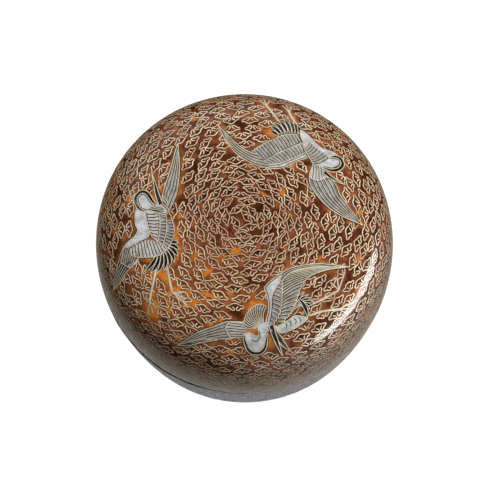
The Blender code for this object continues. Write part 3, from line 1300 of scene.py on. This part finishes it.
def lie_of(cloud):
    """A cloud's discs on the box in millimetres, and its sideways and inwards directions there."""
    cosine, sine = math.cos(cloud["tilt"]), math.sin(cloud["tilt"])
    lean, tall, bend = cloud["lean"], cloud["tall"], cloud["bend"]
    spots = [(x + lean * y, y * tall + bend * x * x) for x, y, _ in DISCS]
    spots = [(x * cosine - y * sine, x * sine + y * cosine) for x, y in spots]
    spots += [(0.3, 0.0), (0.0, 0.3)]
    *placed, beside, further_in = [on_box(*drawn_place(cloud, x, y), 0.0) / MM for x, y in spots]
    room = room_at(cloud["distance"])
    discs = [(spot, room * size) for spot, (_, _, size) in zip(placed, DISCS)]
    return discs, (beside - placed[0]).normalized(), (further_in - placed[0]).normalized()


def nudge(cloud, lie, spot, push):
    """Moves and turns a cloud by a push at one of its discs."""
    discs, sideways, inwards = lie
    arm = spot - discs[0][0]
    cloud["turn"] += push.dot(sideways) / radius_at(cloud["distance"])
    cloud["distance"] -= push.dot(inwards)
    moment = arm.dot(sideways) * push.dot(inwards) - arm.dot(inwards) * push.dot(sideways)
    cloud["tilt"] += TWIST * moment


# %% Push the clouds apart
ROUNDS = 30
NEIGHBOUR_REACH = 6.2
BORDER_REACH = 0.9
PUSH = 0.20
BORDER_PUSH = 0.10


def push_apart(clouds, first, last, borders):
    middles = [lie_of(cloud)[0][0][0] for cloud in clouds]
    tree = tree_of(middles)
    near = [
        (number, other) for number, middle in enumerate(middles)
        for _, other, _ in tree.find_range(middle, NEIGHBOUR_REACH) if other > number
    ]
    for _ in range(ROUNDS):
        lies = [lie_of(cloud) for cloud in clouds]
        for number, other in near:
            for spot, size in lies[number][0]:
                for other_spot, other_size in lies[other][0]:
                    apart = other_spot - spot
                    if apart.length >= size + other_size:
                        continue
                    push = apart.normalized() * (apart.length - size - other_size) * PUSH
                    nudge(clouds[number], lies[number], spot, push)
                    nudge(clouds[other], lies[other], other_spot, -push)
        for cloud, lie in zip(clouds, lies):
            for spot, size in lie[0]:
                reach = size * BORDER_REACH
                for border, _, gap in borders.find_range(spot, reach):
                    push = (spot - border).normalized() * (reach - gap) * BORDER_PUSH
                    nudge(cloud, lie, spot, push)
            cloud["distance"] = min(max(cloud["distance"], first), last)


border_points = [point for part in patches for point in part["outline"]]
borders = tree_of([on_box(x, y, 0.0) / MM for x, y in border_points])
push_apart(lid_clouds, 0.5, LID_LENGTH - LID_MARGIN, borders)
push_apart(base_clouds, BASE_START, BASE_END, borders)
lid_clouds = [cloud for cloud in lid_clouds if not hidden(cloud, most=4)]
print(len(lid_clouds), "clouds are left on the lid")

# %% [markdown]
# Each cloud is copied from one of those drawn above, and every vertex of the copy is put through
# the cloud's own stretch, bend and tilt before it is laid on the box.

# %% Copy the clouds
def lay_cloud(verts, cloud):
    cosine, sine = math.cos(cloud["tilt"]), math.sin(cloud["tilt"])
    for vert in verts:
        x, y, height = vert.co
        x *= cloud["right"] if x > 0 else cloud["left"]
        y = y * cloud["tall"] + cloud["bend"] * x * x
        x += cloud["lean"] * y
        x, y = x * cosine - y * sine, x * sine + y * cosine
        vert.co = on_box(*drawn_place(cloud, x, y), height)


for part_name, clouds in (("lid", lid_clouds), ("base", base_clouds)):
    enamel_slot = part_name + "_enamel"
    for layer_name, material, slot in (
        ("enamel", CLOUD_BROWNS[part_name], enamel_slot),
        ("edges", WIRE_SHADE_BROWN, enamel_slot),
        ("wires", WIRE_GILT, "gilt_wire"),
    ):
        bm = bmesh.new()
        for cloud in clouds:
            first = len(bm.verts)
            bm.from_mesh(cloud_sorts[cloud["sort"]][layer_name])
            lay_cloud(bm.verts[first:], cloud)
        make_piece(bm, part_name + "_cloud_" + layer_name, material, crease=80.0)

# %% [markdown]
# The amber glow is painted on the vertices of the lid and of its clouds. It is strong in a narrow
# zone beside the cranes, and broader and weaker in warm areas of the crown and along the shoulder.

# %% Paint the amber glow
WARM_AREAS = (
    ((-14.0, -13.0), 14.0, 0.17), ((4.0, -38.0), 14.0, 0.06), ((-28.0, -24.0), 10.0, 0.14),
    ((22.0, 2.0), 12.0, 0.03), ((0.0, 4.0), 11.0, -0.12),
)
GLOW_REACH = 1.3
GLOW = 0.20
nearest_border = tree_of([(x, y, 0.0) for x, y in border_points + leg_points])


def amber_at(x, y):
    beside = GLOW * math.exp(-((nearest_border.find((x, y, 0.0))[2] / GLOW_REACH) ** 2))
    return beside + sum(
        size * math.exp(-(math.dist((x, y), middle) / reach) ** 2)
        for middle, reach, size in WARM_AREAS
    )


levels = [level for _, level in lid_trace][::-1]
walks = [distance / MM for distance in walk[: len(lid_trace)]][::-1]
for mesh in (lid.data, bpy.data.objects["lid_cloud_enamel"].data):
    amber = mesh.attributes.new("amber", "FLOAT", "POINT")
    for vert in mesh.vertices:
        distance = walks[min(bisect.bisect_left(levels, vert.co.z), len(levels) - 1)]
        turn = math.atan2(vert.co.y, vert.co.x)
        glow = amber_at(distance * math.cos(turn), distance * math.sin(turn))
        amber.data[vert.index].value = glow
    print("amber painted on", len(mesh.vertices), "vertices of", mesh.name)

# %% [markdown]
# The floor is a plain white table that glows evenly, as a light table for product pictures does, so
# that the box throws hardly any shadow on it. Its edge rises into a backdrop for the low views. The
# room's own ramps stand for it in the reflections.

# %% Floor
TABLE_RADIUS = 2.5
BACKDROP_HEIGHT = 6.0
floor_bm = bmesh.new()
under_box = Matrix.Translation((0, 0, cad_low.z - 0.05 * MM))
bmesh.ops.create_circle(floor_bm, cap_ends=True, segments=96, radius=TABLE_RADIUS, matrix=under_box)
raised = bmesh.ops.extrude_edge_only(floor_bm, edges=floor_bm.edges[:])["geom"]
raised = [item for item in raised if isinstance(item, bmesh.types.BMVert)]
bmesh.ops.translate(floor_bm, verts=raised, vec=(0.0, 0.0, BACKDROP_HEIGHT))
floor_mesh = kept_mesh("floor", floor_bm)
TABLE_VALUES = {"Base_Color": (0.16, 0.16, 0.16, 1.0), "Emission_Color": (1.0, 1.0, 1.0, 1.0)}
table, _ = finish("pale_table", Roughness=0.7, Emission_Strength=1.0, **TABLE_VALUES)
floor_mesh.materials.append(table)
floor = add_object("floor", floor_mesh)
floor.visible_glossy = False
floor.visible_diffuse = False
print("floor radius", TABLE_RADIUS, "m")
